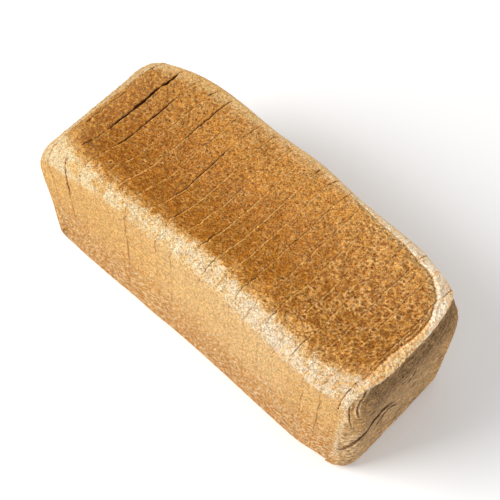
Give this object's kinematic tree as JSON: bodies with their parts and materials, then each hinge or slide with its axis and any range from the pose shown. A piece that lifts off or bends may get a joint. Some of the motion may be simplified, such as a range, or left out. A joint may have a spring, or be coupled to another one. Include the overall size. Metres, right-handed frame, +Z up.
{
  "type": "sliced tin loaf",
  "caption": "Oblong wholemeal tin loaf with a flat base, raised browned shoulder and slightly sunken top, cut crosswise into thin slices that still stand together as one loaf.",
  "frame": {"origin": "middle of the loaf's bounding box on the plane of its flat base", "axes": "+Z up from the base; +X along the length from the leaning left heel to the right heel; -Y out of the near long side, whose shoulder stands higher"},
  "size_m": [0.2624, 0.117, 0.1185],
  "materials": {
    "slice_crust": "matt baked wholemeal crust, golden brown above and tan at the sides",
    "heel_crust": "matt baked wholemeal crust, greyish tan on the end faces"
  },
  "bodies": {
    "root": {"heel_left": "heel_crust", "slice_01": "slice_crust", "slice_02": "slice_crust", "slice_03": "slice_crust", "slice_04": "slice_crust", "slice_05": "slice_crust", "slice_06": "slice_crust", "slice_07": "slice_crust", "slice_08": "slice_crust", "slice_09": "slice_crust", "slice_10": "slice_crust", "slice_11": "slice_crust", "slice_12": "slice_crust", "slice_13": "slice_crust", "slice_14": "slice_crust", "slice_15": "slice_crust", "slice_16": "slice_crust", "slice_17": "slice_crust", "slice_18": "slice_crust", "slice_19": "slice_crust", "heel_right": "heel_crust"}
  },
  "joints": []
}
